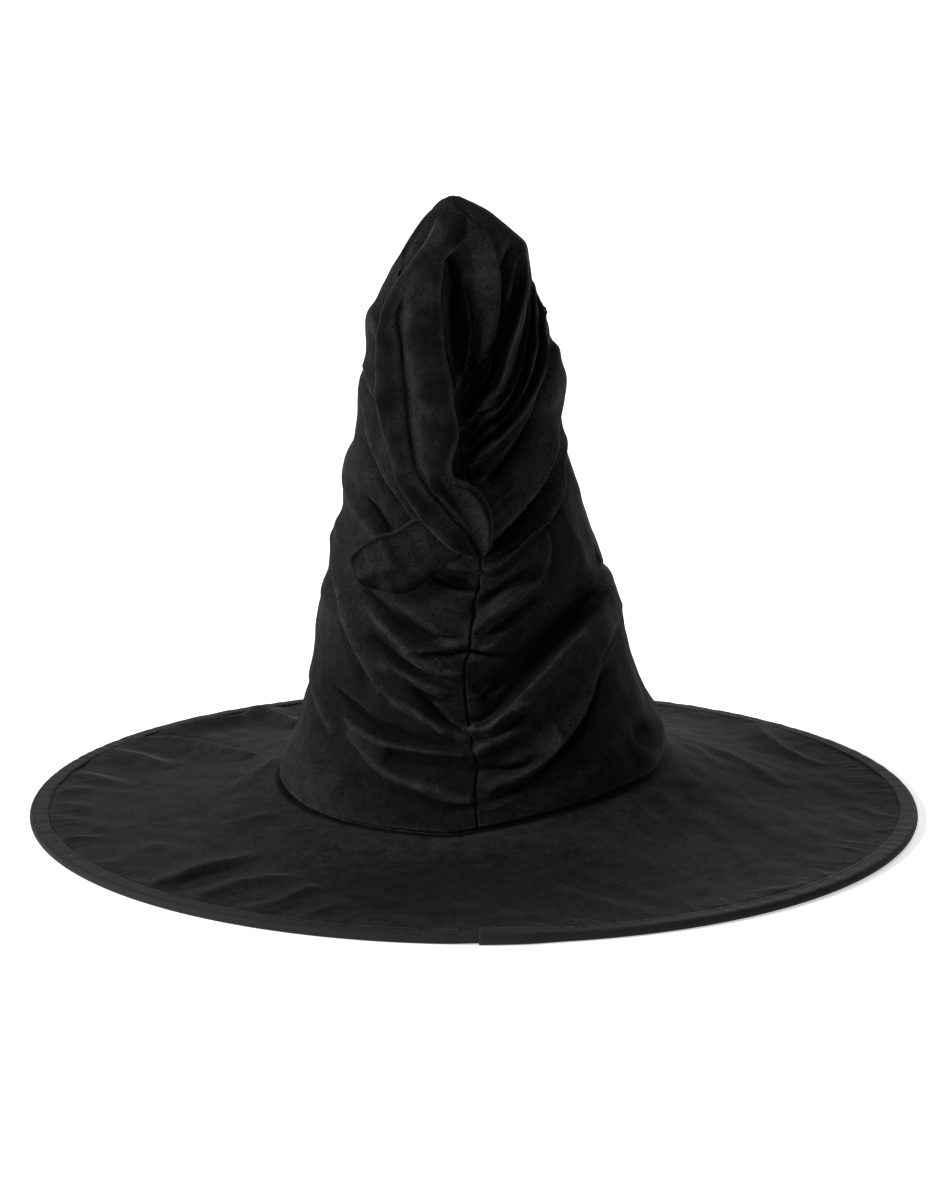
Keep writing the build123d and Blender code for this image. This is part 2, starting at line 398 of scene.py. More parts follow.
def onCrown(angle, height, inset=0.0):
    # a point of the smooth crown, in mm, at an angle from the back seam towards +X
    left, right, back, front = crownEdges(height)
    width, depth = (right - left) / 2 - inset, (front - back) / 2 - inset
    x = (left + right) / 2 + np.maximum(width, 0) * np.sin(angle)
    y = (back + front) / 2 - np.maximum(depth, 0) * np.cos(angle)
    return np.stack([x, y, height + 0 * x], -1)


def onBack(line):
    # a line given as (x, height), laid on the back of the smooth crown
    line = flowing(line, 60)
    left, right, _, _ = crownEdges(line[:, 1])
    angle = np.arcsin(np.clip((line[:, 0] - (left + right) / 2) / ((right - left) / 2), -0.999, 0.999))
    return onCrown(angle, line[:, 1])


def crownRoom(height):
    # how deep a valley may go before it would meet what hangs inside
    return through(*zip(*crown["room"]), height)


def seamAcross(height):
    seam = np.array(crown["seam"], float)
    return through(seam[:, 1], seam[:, 0], height)


def behindSeam(height, inset, across=0.0):
    # points on the inner side of the back seam, set in from the smooth crown
    left, right, _, _ = crownEdges(height)
    turn = (seamAcross(height) + across - (left + right) / 2) / ((right - left) / 2)
    return onCrown(np.arcsin(np.clip(turn, -0.99, 0.99)), height, inset)


def footHeight(angle):
    degrees = np.degrees((angle + math.pi) % (2 * math.pi) - math.pi)
    return through([a for a, _ in crown["foot"]], [h for _, h in crown["foot"]], degrees)


def crownAngles(columns):
    # columns round the crown, closest at the back
    turn = np.arange(columns) / columns * 2 * math.pi
    return turn - crown["crowding"] * np.sin(turn)


def crownGrid(columns, rows, top, inset=None):
    # heights run up from the sloping foot, evenly along the cloth
    levels = crown["levels"]
    fine = np.linspace(levels[0][0], top, 900)
    left, right, back, front = crownEdges(fine)
    outline = np.stack([right - left, (right + left) / 2, (front + back) / 2, fine], -1) * [0.5, 1, 1, 1]
    along = np.concatenate([[0], np.cumsum(np.linalg.norm(np.diff(outline, axis=0), axis=1))])
    heights = np.interp(np.linspace(0, along[-1], rows), along, fine)
    angle, height = np.meshgrid(crownAngles(columns), heights)
    lift = (footHeight(angle) - levels[0][0]) * (1 - smoothStep(height, levels[0][0], crown["liftFades"]))
    inward = 0 if inset is None else inset(height, angle)
    points = onCrown(angle, height, inward)
    points[..., 2] += lift
    return points


def seamGathers():
    # short tucks that run out of the gathered seam on both sides, closer and finer where it is pulled most
    chance = np.random.RandomState(5)
    seam = flowing(crown["seam"], 400)
    tucks, height = [], 26.0
    while height < 232:
        x = np.interp(height, seam[:, 1], seam[:, 0])
        tight = 0.35 + 0.65 * math.exp(-(((height - 205) / 26) ** 2))
        for side in (-1, 1):
            reach = chance.uniform(9, 24) * (1.2 - 0.5 * tight)
            climb = chance.uniform(0.2, 0.9) * (1 if height > 45 else 0.4)
            drift = chance.uniform(-2, 2)
            line = [
                (x + side * 0.3, height + drift),
                (x + side * reach * 0.45, height + drift + climb * reach * 0.22),
                (x + side * reach, height + drift + climb * reach * 0.8),
            ]
            rise = chance.uniform(0.5, 1.4) * (0.7 + 0.5 * tight)
            wide = chance.uniform(1.0, 1.9) * (1.25 - 0.5 * tight)
            tucks.append((line if side > 0 else line[::-1], rise, wide, wide * 0.8, 0.0))
        height += chance.uniform(5.2, 8.0) * (1.25 - 0.75 * tight)
    return tucks


def farFolds():
    # the front hangs in long soft folds that run down from the slouch
    chance = np.random.RandomState(11)
    lines = []
    for i in range(crown["farFolds"]):
        start = math.pi + (i / crown["farFolds"] - 0.5) * 2.5 + chance.uniform(-0.1, 0.1)
        top = chance.uniform(120, 285)
        bottom = max(30, top - chance.uniform(60, 150))
        height = np.linspace(top, bottom, 60)
        angle = start + chance.uniform(-0.5, 0.5) * np.linspace(0, 1, 60) ** 1.3
        rise = chance.uniform(1.2, 2.8) * chance.choice([-1, 1, 1])
        left, right, lean = chance.uniform(4, 9), chance.uniform(3, 7), chance.uniform(-1, 1)
        lines.append((onCrown(angle, height), rise, left, right, lean))
    return lines


def foldCrown(smooth):
    # soft waves, then the large folds, then the tucks and the pull of the back seam
    normals = gridNormals(smooth)
    normals[0] = normals[1]
    normals[-1] = unit(normals[-2] + [0, 0, 0.5])
    calm = smoothStep(smooth[..., 2], 16, 34)
    soft = smooth + normals * (waved(smooth, crown["waves"]) * calm)[..., None]
    folds = [(onBack(line), *rest) for line, *rest in crown["folds"]] + farFolds()
    folded = pressFolds(soft, normals, folds, crown["foldStrength"])
    edge = np.abs(np.sin(crownAngles(crown["columns"])))[None, :, None]
    folded = soft + (folded - soft) * (1 - crown["quietSides"] * smoothStep(edge, 0.8, 0.97))
    folded = relax(folded, 1)
    tucks = [(onBack(line), *rest) for line, *rest in seamGathers()]
    tucks.append((onBack(crown["seam"]), -crown["seamDepth"], crown["seamWide"], crown["seamWide"], 0.0))
    print("crown: folds", len(folds), "tucks", len(tucks))
    return pressFolds(folded, gridNormals(folded), tucks)


def limitDepth(folded, smooth):
    # no valley goes deeper than the lining and the band leave room for
    outward = gridNormals(smooth)
    depth = -((folded - smooth) * outward).sum(-1)
    room = crownRoom(smooth[..., 2])
    free, slow = room * crown["freeShare"], room * crown["slowShare"]
    kept = np.where(depth > free, free + slow * np.tanh((depth - free) / slow), depth)
    return folded + outward * (depth - kept)[..., None]


def turnFootIn(folded):
    above = folded[..., 2] - footHeight(crownAngles(crown["columns"]))[None, :]
    turnIn = 1 - smoothStep(above, 0, crown["footTurn"])
    folded[..., :2] += unit(-folded[..., :2]) * (turnIn * crown["footTurn"])[..., None]


def buildCrown():
    smooth = crownGrid(crown["columns"], crown["rows"], crown["levels"][-1][0])
    folded = limitDepth(foldCrown(smooth), smooth)
    turnFootIn(folded)
    normals = gridNormals(folded)
    normals[0] = normals[1]
    inner = (folded - normals * crown["thick"])[::2, ::2]
    piece = linedCloth("crownCloth", folded * mm, inner * mm)
    # painted shade on the listed places and along the foot, then painted shade in the folds and painted
    # highlight on the crests
    onBackSide = smoothStep(-folded[..., 1], -40, 5)
    paintedDarkening = paintedShadePlaces(folded[..., 0], folded[..., 2], crown["paintedDarkening"]) * onBackSide
    above = folded[..., 2] - folded[:1, :, 2]
    paintedDarkening = np.maximum(paintedDarkening, crown["footShade"] * (1 - smoothStep(above, 0.4, 1.6)))
    paintPileLight(piece, paintedFoldLight(folded, normals, 2.0, 0.95, paintedDarkening))
    return piece, folded, normals


# Hanging tip and its folded end

tip = {
    # left edge, right edge, share across of the groove, rise of the left and right rolls, depth behind,
    # how far across the right roll reaches before the ear behind it shows,
    # and how far the two rolls run together
    "stations": [
        ((-12, -50.5, 310.5), (-4, -49, 309.5), 0.5, 0.6, 0.5, 1.0, 1.0, 0.5),
        ((-16.8, -57.5, 304), (-2, -56, 303), 0.5, 2.6, 1.6, 1.5, 1.0, 0.5),
        ((-22.5, -63.5, 294), (-4, -61.5, 294.5), 0.5, 4.6, 3.4, 2.5, 1.0, 0.5),
        ((-31, -67, 281.5), (-14, -68.5, 284), 0.45, 6.0, 5.8, 3.5, 1.0, 0.4),
        ((-38, -67, 271), (-15, -74, 271), 0.36, 6.2, 6.4, 4.0, 1.0, 0.3),
        ((-44, -68, 259), (-14.5, -77, 259), 0.36, 6.5, 6.8, 4.5, 1.0, 0.05),
        ((-46, -68, 242), (-13.5, -79, 246), 0.44, 7.0, 7.2, 5.0, 1.0, 0.02),
        ((-46, -69, 226), (-10, -80, 228), 0.44, 7.5, 7.5, 5.0, 1.0, 0.02),
        ((-43, -70, 205), (-7, -81, 206), 0.41, 7.5, 7.5, 5.0, 1.0, 0.02),
        ((-37, -72, 184), (-10.5, -82, 191), 0.48, 7.0, 6.5, 5.0, 1.0, 0.02),
        ((-33, -74, 176), (-9.5, -82, 185), 0.53, 7.0, 6.0, 4.5, 0.96, 0.02),
        ((-29, -75.5, 169), (-1.5, -80, 181.5), 0.46, 7.0, 6.0, 4.5, 0.55, 0.02),
        ((-23, -76.5, 161), (5.5, -78.5, 174.5), 0.44, 6.5, 5.0, 4.0, 0.36, 0.02),
        ((-15, -77.5, 153), (9.3, -77.5, 162), 0.5, 6.0, 3.8, 3.5, 0.22, 0.02),
        ((-7, -78, 147.5), (8.5, -77.5, 150), 0.55, 4.5, 2.8, 3.0, 0.1, 0.04),
        ((-1.5, -78.5, 145), (5, -78, 145.5), 0.6, 2.0, 1.8, 1.5, 0.05, 0.1),
    ],
    "rows": 300,
    "across": 200,
    "waves": [(0.35, 26, 21), (0.15, 11, 22)],
    # how strong the painted highlight along the tip's edges is
    "paintedEdgeHighlight": 0.9,
    "bendStart": (-18, -60, 303),
    "bendEnd": (-27, -72, 276),
}
tipEnd = {
    # top edge, bottom edge, thickness in front, thickness behind
    "stations": [
        ((-7, -68, 157), (-8, -68, 143), 2.5, 2.0),
        ((-14, -70, 161), (-15, -70, 137), 4.0, 3.0),
        ((-22, -71.5, 164), (-23.5, -71, 131), 4.8, 3.2),
        ((-29, -72, 162.5), (-30, -71, 126.5), 5.2, 3.2),
        ((-37, -71.5, 157), (-37.5, -70.5, 125.5), 5.2, 3.2),
        ((-46, -69.5, 154), (-46, -68.5, 127), 5.0, 3.2),
        ((-52, -67.5, 150), (-51.5, -66.5, 128.5), 4.6, 3.0),
        ((-56, -65.5, 145), (-55.5, -65, 132.5), 3.6, 2.4),
        ((-57.8, -64, 141), (-57.6, -64, 137.5), 1.0, 1.0),
    ],
    "rows": 150,
    "across": 120,
    "length": 54.0,
    "rim": 2.2,
    "waves": [(0.4, 20, 31), (0.25, 9, 32)],
    "paintedEdgeHighlight": 0.9,
    # painted shade on the folded end: middle (x, height), half length, half width, turn in degrees, how much
    "paintedDarkening": [((-34, 142), 14, 22, 0, 0.5)],
    "bendStart": (-9, -71, 148),
    "bendEnd": (-22, -71, 146),
}


def stationValues(stations, rows):
    # every column of a station table as smooth values down the piece
    table = np.array([np.concatenate([np.atleast_1d(v) for v in station]) for station in stations], float)
    middle = (table[:, 0:3] + table[:, 3:6]) / 2
    along = np.concatenate([[0], np.cumsum(np.linalg.norm(np.diff(middle, axis=0), axis=1))])
    at = np.linspace(0, along[-1], rows)
    return [through(along, table[:, k], at) for k in range(table.shape[1])]


def widthBetween(values):
    # how far apart the two edge lines are, row by row
    return np.linalg.norm(np.stack(values[0:3], -1) - np.stack(values[3:6], -1), axis=-1)[:, None]


def frontShare(across):
    # the share across a flattened form, over its front and then back under it
    turn = np.linspace(0, math.pi, across // 2, endpoint=False)
    return np.concatenate([(1 - np.cos(turn)) / 2, (1 + np.cos(turn)) / 2])


def flattened(values, across, front, behind):
    # a closed form between two edge lines, with its front and back raised from the line across
    start, end = np.stack(values[0:3], -1), np.stack(values[3:6], -1)
    half = across // 2
    share = frontShare(across)
    facing = np.concatenate([np.ones(half), -np.ones(half)])
    middle = (start + end) / 2
    down = unit(np.gradient(middle, axis=0))
    chord = end - start
    outward = unit(np.cross(chord, down))
    outward *= np.sign(-outward[:, 1:2])
    rise = np.where(facing > 0, front(share[None, :]), -behind(share[None, :]))
    points = start[:, None] + chord[:, None] * share[None, :, None] + outward[:, None] * rise[..., None]
    return points


def closedForm(name, grid):
    # a tube of points with both ends drawn shut
    rows, columns = grid.shape[:2]
    vertices = list(grid.reshape(-1, 3)) + [grid[0].mean(0), grid[-1].mean(0)]
    faces = gridFaces(rows, columns)
    first, last = rows * columns, rows * columns + 1
    for j in range(columns):
        k = (j + 1) % columns
        faces.append((first, k, j))
        faces.append((last, (rows - 1) * columns + j, (rows - 1) * columns + k))
    return meshFrom(name, vertices, faces)


def rolled(place):
    # the height of a round roll, for a place from 0 to 1 across it
    return np.sqrt(np.maximum(0, 1 - (2 * place - 1) ** 2))


def buildTip():
    values = stationValues(tip["stations"], tip["rows"])
    groove, leftRise, rightRise, depth, reach, overlap = [v[:, None] for v in values[6:12]]

    def front(share):
        left = np.where(share < groove + overlap, leftRise * rolled(share / (groove + overlap)), 0)
        across = np.clip((share - groove + overlap) / (1 - groove + overlap), 0, 1)
        right = np.where(across < reach, rightRise * rolled(np.clip(across / reach, 0, 1)), 0)
        beyond = np.clip((across - reach * 0.6) / (1 - reach * 0.6), 0, 1)
        hasEar = smoothStep(1 - reach, 0.0, 0.2)
        ear = hasEar * rightRise * (0.5 + 0.55 * smoothStep(beyond, 0.35, 0.85)) * np.sqrt(1 - beyond**10)
        ear = ear * (across > 0) * smoothStep(across, 0, 0.12)
        return np.maximum(left, np.maximum(right, ear))

    def behind(share):
        return depth * rolled(share)

    grid = flattened(values, tip["across"], front, behind)
    grid = relax(grid, 1)
    normals = gridNormals(grid)
    grid += normals * waved(grid, tip["waves"])[..., None]
    piece = closedForm("hangingTip", grid * mm)
    # painted shade down the groove between the rolls, and a painted highlight along the tip's side edges
    # below its top
    share = frontShare(tip["across"])
    wide = widthBetween(values)
    paintedGrooveShade = 1 - smoothStep(np.abs(share - groove) * wide, 0.5, 2.0)
    paintedGrooveShade = 0.97 * paintedGrooveShade * smoothStep(-overlap, -0.3, -0.05) * (np.arange(tip["across"]) < tip["across"] // 2)
    rim = np.exp(-((np.minimum(share, 1 - share) * wide / 1.1) ** 2)) * smoothStep(grid[..., 2], 310, 298)
    paintPileLight(piece, paintedFoldLight(grid, normals, 1.4, 0.92, paintedGrooveShade) - tip["paintedEdgeHighlight"] * rim)
    print("tip: rows", tip["rows"])
    return piece


def buildTipEnd():
    values = stationValues(tipEnd["stations"], tipEnd["rows"])
    thick, depth = [v[:, None] for v in values[6:8]]
    wide = widthBetween(values)
    fromTip = np.linspace(tipEnd["length"], 0, tipEnd["rows"])[:, None]

    def front(share):
        middle = 2 * share - 1
        rim = tipEnd["rim"]
        inside = smoothStep(share * wide, rim * 0.5, rim * 1.5) * smoothStep(fromTip, rim * 0.5, rim * 1.5)
        return thick * np.sqrt(np.maximum(0, 1 - middle**6)) * (1 - 0.42 * inside)

    def behind(share):
        return depth * rolled(share)

    grid = flattened(values, tipEnd["across"], front, behind)
    grid = relax(grid, 1)
    normals = gridNormals(grid)
    grid += normals * waved(grid, tipEnd["waves"])[..., None]
    piece = closedForm("foldedEnd", grid * mm)
    # painted shade on the listed place of its side facing -Y, painted shade in its folds, and a painted
    # highlight along its edges
    paintedDarkening = paintedShadePlaces(grid[..., 0], grid[..., 2], tipEnd["paintedDarkening"]) * (normals[..., 1] < 0)
    share = frontShare(tipEnd["across"])
    fromEdge = np.minimum(np.minimum(share, 1 - share) * wide, fromTip)
    rim = np.exp(-((fromEdge / 0.9) ** 2))
    paintPileLight(piece, paintedFoldLight(grid, normals, 1.2, 0.9, paintedDarkening) - tipEnd["paintedEdgeHighlight"] * rim)
    print("folded end: rows", tipEnd["rows"])
    return piece


# Brim: two covers over a stiffener, and the bound edge

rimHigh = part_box("brim_binding")[1]
brim = {
    "radius": rimHigh.x / mm,
    "edgeThick": rimHigh.z / mm,
    "flatRadius": 205.0,
    "footRadius": 94.6,
    "coverRadius": 217.2,
    "openingRadius": 91.7,
    "topCover": (4.25, 0.8),
    "stiffener": (3.25, 2.1),
    "underCover": (1.0, 0.45),
    "columns": 1080,
    "rows": 171,
    "room": 0.3,
    "crownRadius": 96.5,
    "waves": [(0.45, 60, 41), (0.25, 22, 42)],
    "underWaves": [(0.25, 40, 45), (0.2, 15, 46)],
    # ridges where the loose cover buckles: line in (x, y), rise, width on its left and right hands, lean
    "folds": [
        ([(-119, 175), (-106, 156), (-94, 133)], 4.5, 5, 6, 0),
        ([(-163, 130), (-143, 142), (-127, 152), (-118, 168)], 4.4, 4, 8, 0),
        ([(-176, 112), (-157, 104), (-143, 91), (-128, 72), (-114, 55)], 4.6, 4, 8, 0),
        ([(-190, 90), (-174, 76), (-156, 53)], 2.6, 6, 7, 0),
        ([(-201, 50), (-187, 34), (-174, 22)], 2.4, 5, 6, 0),
        ([(-208, 5), (-203, 15), (-194, 19)], 1.6, 4, 5, 0),
        ([(-200, -76), (-192, -68), (-180, -65)], 1.6, 5, 5, 0),
        ([(-172, -116), (-160, -93), (-152, -82)], 1.8, 7, 7, 0),
        ([(-151, -149), (-138, -134), (-128, -123), (-106, -107)], 3.1, 8, 5, 0),
        ([(-129, -168), (-117, -153), (-106, -144), (-84, -137)], 2.9, 7, 5, 0),
        ([(-108, -184), (-95, -177), (-86, -168), (-75, -150)], 2.6, 6, 5, 0),
        ([(-79, -194), (-68, -183), (-60, -170)], 1.8, 5, 5, 0),
        ([(-116, -4), (-104, 20), (-99, 33)], 2.0, 6, 7, 0),
        ([(-116, -60), (-100, -55), (-86, -52)], 1.6, 6, 6, 0),
        ([(150, 142), (153, 113), (166, 76), (176, 64)], 3.4, 5, 7, 0),
        ([(101, 70), (116, 58), (131, 39), (153, 6)], 2.2, 8, 8, 0),
        ([(103, 87), (108, 49), (122, 5)], 1.6, 7, 7, 0),
        ([(128, -155), (144, -151), (158, -144)], 1.4, 6, 6, 0),
        ([(-30, 196), (-10, 170), (6, 140)], 2.6, 7, 8, 0),
        ([(60, 190), (66, 160), (58, 128)], 2.4, 7, 8, 0),
    ],
    "puckers": 150,
    "puckerFrom": 213,
    "puckerWide": 1.8,
    # painted shade on the top cover: middle (x, y), half length, half width, turn in degrees, how much
    "paintedDarkening": [((15, -158), 50, 105, 0, 0.42)],
}


def brimLift(radius, angle):
    # how far the brim stands above its flat rim
    inward = np.clip((brim["flatRadius"] - radius) / (brim["flatRadius"] - brim["crownRadius"]), 0, 1.06)
    return (footHeight(angle) - brim["topCover"][0]) * inward**2


def brimGrid(inner, outer, height, columns, rows):
    angle, radius = np.meshgrid(np.arange(columns) / columns * 2 * math.pi, np.linspace(outer, inner, rows))
    return np.stack([radius * np.sin(angle), -radius * np.cos(angle), height + brimLift(radius, angle)], -1)


def onBrim(line, count=40):
    line = flowing(line, count)
    radius, angle = np.hypot(line[:, 0], line[:, 1]), np.arctan2(line[:, 0], -line[:, 1])
    return np.stack([line[:, 0], line[:, 1], brim["topCover"][0] + brimLift(radius, angle)], -1)


def rimPuckers():
    # short tucks that the binding's stitches draw into the cover
    chance = np.random.RandomState(43)
    lines = []
    for i in range(brim["puckers"]):
        angle = (i + chance.uniform(-0.4, 0.4)) / brim["puckers"] * 2 * math.pi
        reach = chance.uniform(7, 24)
        turn = chance.uniform(-0.04, 0.04)
        ends = ((brim["puckerFrom"], 0), (brim["puckerFrom"] - reach, turn))
        line = [(r * math.sin(angle + t), -r * math.cos(angle + t)) for r, t in ends]
        rise, wide = chance.uniform(0.1, 0.45), brim["puckerWide"]
        lines.append((onBrim([line[0], np.mean(line, 0), line[1]], 16), rise, wide, wide, 0.0))
    return lines


def buildTopCover():
    height, thick = brim["topCover"]
    smooth = brimGrid(brim["footRadius"], brim["coverRadius"], height, brim["columns"], brim["rows"])
    up = np.zeros_like(smooth)
    up[..., 2] = 1
    points = pressFolds(smooth, up, [(onBrim(line), *rest) for line, *rest in brim["folds"]] + rimPuckers())
    points[..., 2] += waved(smooth, brim["waves"])
    radius = np.hypot(smooth[..., 0], smooth[..., 1])
    calm = (1 - smoothStep(radius, 208, 213)) * smoothStep(radius, 96, 106)
    rise = np.maximum((points[..., 2] - smooth[..., 2]) * calm, -brim["room"])
    points = smooth + up * rise[..., None]
    piece = linedCloth("brimTopCover", points * mm, (points - [0, 0, thick])[::2, ::2] * mm)
    # painted shade on the listed place and in a ring where the cover meets the crown's foot, and painted
    # shade and highlight in its folds
    paintedDarkening = paintedShadePlaces(points[..., 0], points[..., 1], brim["paintedDarkening"])
    paintedDarkening = np.maximum(paintedDarkening, 0.95 * (1 - smoothStep(radius, 97.6, 99.8)))
    paintPileLight(piece, paintedFoldLight(points, up, 1.6, 0.5, paintedDarkening))
    print("top cover: folds", len(brim["folds"]), "tucks", brim["puckers"])
    return piece


def buildBrimLayers():
    top, thick = brim["stiffener"]
    felt = brimGrid(brim["footRadius"] + 0.4, brim["coverRadius"] - 2.4, top - 0.15, 360, 60)
    stiffener = clothSolid("brimStiffening", felt * mm, (felt - [0, 0, thick]) * mm)
    top, thick = brim["underCover"]
    under = brimGrid(brim["openingRadius"], brim["coverRadius"], top, 540, 90)
    lower = under - [0, 0, thick]
    radius = np.hypot(under[..., 0], under[..., 1])
    calm = (1 - smoothStep(radius, 200, 210)) * smoothStep(radius, 96, 106)
    lower[..., 2] -= calm * np.maximum(0, waved(lower, brim["underWaves"])) * 0.6
    lower[..., 2] = np.maximum(lower[..., 2], 0.1)
    print("brim: stiffener and under cover")
    return stiffener, clothSolid("brimUnderCover", under * mm, lower * mm)


def sweep(name, sections, capped=True):
    # a closed section carried along a path: sections is stations by points
    stations, points = sections.shape[:2]
    faces = gridFaces(stations, points)
    if capped:
        faces.append(tuple(range(points))[::-1])
        faces.append(tuple((stations - 1) * points + j for j in range(points)))
    return meshFrom(name, sections.reshape(-1, 3), faces)


binding = {
    "width": 9.0,
    "thick": 0.45,
    "lapFrom": 3.6,
    "lapTo": 0.6,
    "lapOut": 1.6,
    "lapUp": 0.8,
    # stations along the tape, and how far from each end the upper lap rises and the lower one tucks under
    "stations": 1100,
    "lapRows": (34, 14),
    "tuckRows": (6, 22),
    "tuckDrop": 0.1,
    "tuckRise": 0.5,
    "flatPoints": 8,
    "bendPoints": 15,
    "wave": 0.22,
    "waveRadius": 220,
    "stitchIn": 1.5,
    "stitch": 2.7,
    "pitch": 3.5,
    "threadWide": 0.55,
    "threadHigh": 0.3,
}


def bindingSection(thick):
    # a face of the tape this deep in it, from the inner edge on top, round the rim, to the inner edge below
    edge = brim["edgeThick"] / 2
    bend, start = brim["radius"] - edge, brim["radius"] - binding["width"]
    turn = np.linspace(math.pi / 2, -math.pi / 2, binding["bendPoints"])
    count, reach = binding["flatPoints"], edge - thick
    flat = start + (bend - start) * np.linspace(0, 1, count, endpoint=False)
    radius = np.concatenate([flat, bend + reach * np.cos(turn), flat[::-1]])
    above, below = np.full(count, edge + reach), np.full(count, edge - reach)
    height = np.concatenate([above, edge + reach * np.sin(turn), below])
    return radius, height


def tapeSway(path):
    # how far the tape's inner edge wanders round the brim; its stitches follow it
    return binding["wave"] * ripples(path * binding["waveRadius"], 26, 51) * 0.9


def buildBinding():
    stations = binding["stations"]
    angle = np.radians(np.linspace(binding["lapFrom"], binding["lapTo"] - 360, stations))
    path = np.stack([np.sin(angle), -np.cos(angle), 0 * angle], -1)
    lapStart, lapEnd = [stations - rows for rows in binding["lapRows"]]
    lap = smoothStep(np.arange(stations), lapStart, lapEnd)
    tuck = 1 - smoothStep(np.arange(stations), *binding["tuckRows"])
    outerR, outerZ = bindingSection(0)
    innerR, innerZ = bindingSection(binding["thick"])
    radius = np.concatenate([outerR, innerR[::-1]])
    height = np.concatenate([outerZ, innerZ[::-1]])
    onTop = np.clip((height - brim["edgeThick"] / 2) / (brim["edgeThick"] / 2), 0, 1)
    inward = np.clip((brim["radius"] - radius) / binding["width"], 0, 1)
    pucker = 0.12 * ripples(path * binding["waveRadius"], 7, 52)
    r = radius[None, :] + lap[:, None] * binding["lapOut"] * (1 - inward)[None, :]
    r += tapeSway(path)[:, None] * (inward > 0.6)[None, :]
    lifted = lap * binding["lapUp"] - tuck * binding["tuckDrop"] + pucker
    z = height[None, :] + onTop[None, :] * lifted[:, None]
    z += (height < brim["edgeThick"] / 2)[None, :] * (tuck * binding["tuckRise"])[:, None]
    sections = np.stack([r * path[:, None, 0], r * path[:, None, 1], np.maximum(z, 0)], -1)
    return sweep("brimBinding", sections[::-1] * mm)


def stitchRow(name, centres, alongs, ups, length, wide, high):
    # a row of separate stitches: each a small rounded bar that dips into the cloth at both ends
    rings, around = 7, 8
    t = np.linspace(-1, 1, rings)
    turn = np.arange(around) / around * 2 * math.pi
    size = np.sqrt(np.maximum(0, 1 - np.abs(t) ** 3)) + 0.05
    sides = np.cross(alongs, ups)
    vertices, faces = [], []
    for centre, along, up, side in zip(centres, alongs, ups, sides):
        base = len(vertices)
        for k in range(rings):
            middle = centre + along * (t[k] * length / 2) - up * (high * 0.7 * t[k] ** 4)
            for a in turn:
                aside = side * (math.cos(a) * wide / 2 * size[k])
                vertices.append(middle + aside + up * (math.sin(a) * high / 2 * size[k]))
        for k in range(rings - 1):
            for j in range(around):
                m = (j + 1) % around
                a, b = base + k * around, base + (k + 1) * around
                faces.append((a + j, b + j, b + m, a + m))
        faces.append(tuple(base + j for j in range(around)))
        faces.append(tuple(base + (rings - 1) * around + j for j in range(around))[::-1])
    return meshFrom(name, vertices, faces)


def buildBindingStitches():
    radius = brim["radius"] - binding["width"] + binding["stitchIn"]
    count = round(2 * math.pi * radius / binding["pitch"])
    chance = np.random.RandomState(61)
    angle = np.arange(count) / count * 2 * math.pi + math.radians(1.2)
    sway = tapeSway(np.stack([np.sin(angle), -np.cos(angle), 0 * angle], -1))
    reach = radius + sway + chance.uniform(-0.06, 0.06, count)
    height = brim["edgeThick"] + 0.12
    centres = np.stack([reach * np.sin(angle), -reach * np.cos(angle), height + 0 * angle], -1)
    skew = chance.uniform(-0.05, 0.05, count)
    alongs = np.stack([np.cos(angle + skew), np.sin(angle + skew), 0 * angle], -1)
    ups = np.tile([0.0, 0.0, 1.0], (count, 1))
    size = [binding[k] * mm for k in ("stitch", "threadWide", "threadHigh")]
    print("binding: stitches", count)
    return stitchRow("bindingStitches", centres * mm, alongs, ups, *size)


# Inside: lining, sweatband, label

inside = {
    "liningTop": 252,
    "liningGap": 2.8,
    "elasticRoom": (1.9, 9),
    "bandRadius": 90.5,
    "bandHeight": 29.0,
    "bandThick": 0.9,
    "bandLean": 9.0,
    "bandStraight": 12.0,
    "bandBend": 17,
    "bandBelow": 1.2,
    "bandStitches": 190,
}


def liningInset(height, angle):
    # clear of the crown's deepest folds, and a little more behind the elastic
    left, right, _, _ = crownEdges(height)
    across = (left + right) / 2 + (right - left) / 2 * np.sin(angle) - seamAcross(height)
    room, wide = inside["elasticRoom"]
    behindElastic = room * np.exp(-((across / wide) ** 2)) * (np.cos(angle) > 0)
    deeper = 5.4 * smoothStep(height, 22, 62)
    return inside["liningGap"] + deeper + 6 * smoothStep(height, 150, 190) + behindElastic


def buildLining():
    # hangs clear of the crown's deepest folds and closes in a gathered top
    columns, rows = 260, 170
    grid = crownGrid(columns, rows, inside["liningTop"], liningInset)
    top = smoothStep(grid[..., 2], inside["liningTop"] - 26, inside["liningTop"])
    middle = grid[-1].mean(0)
    closing = np.sqrt(np.maximum(0, 1 - top**2))
    grid[..., :2] = middle[:2] + (grid[..., :2] - middle[:2]) * closing[..., None]
    normals = gridNormals(grid)
    normals[-1] = [0, 0, 1]
    angle = crownAngles(columns)[None, :]
    drape = 0.9 * ripples(grid, 46, 71) + 0.5 * np.sin(angle * 15 + 2 * np.sin(angle * 2)) * (0.4 + top)
    calm = smoothStep(grid[..., 2], 30, 60)
    grid -= normals * (np.abs(drape) * calm)[..., None]
    print("lining: top", inside["liningTop"])
    return clothSolid("crownLining", grid * mm, (grid - normals * 0.45) * mm)


def bandSection(angle, up, thick):
    # the band stands straight, then leans in with the crown
    base = footHeight(angle) - brim["topCover"][0] + inside["bandBelow"]
    bent = np.clip((up - inside["bandStraight"]) / inside["bandBend"], 0, 2)
    radius = inside["bandRadius"] + thick - inside["bandLean"] * bent**1.1
    return np.stack([radius * np.sin(angle), -radius * np.cos(angle), base + up], -1)


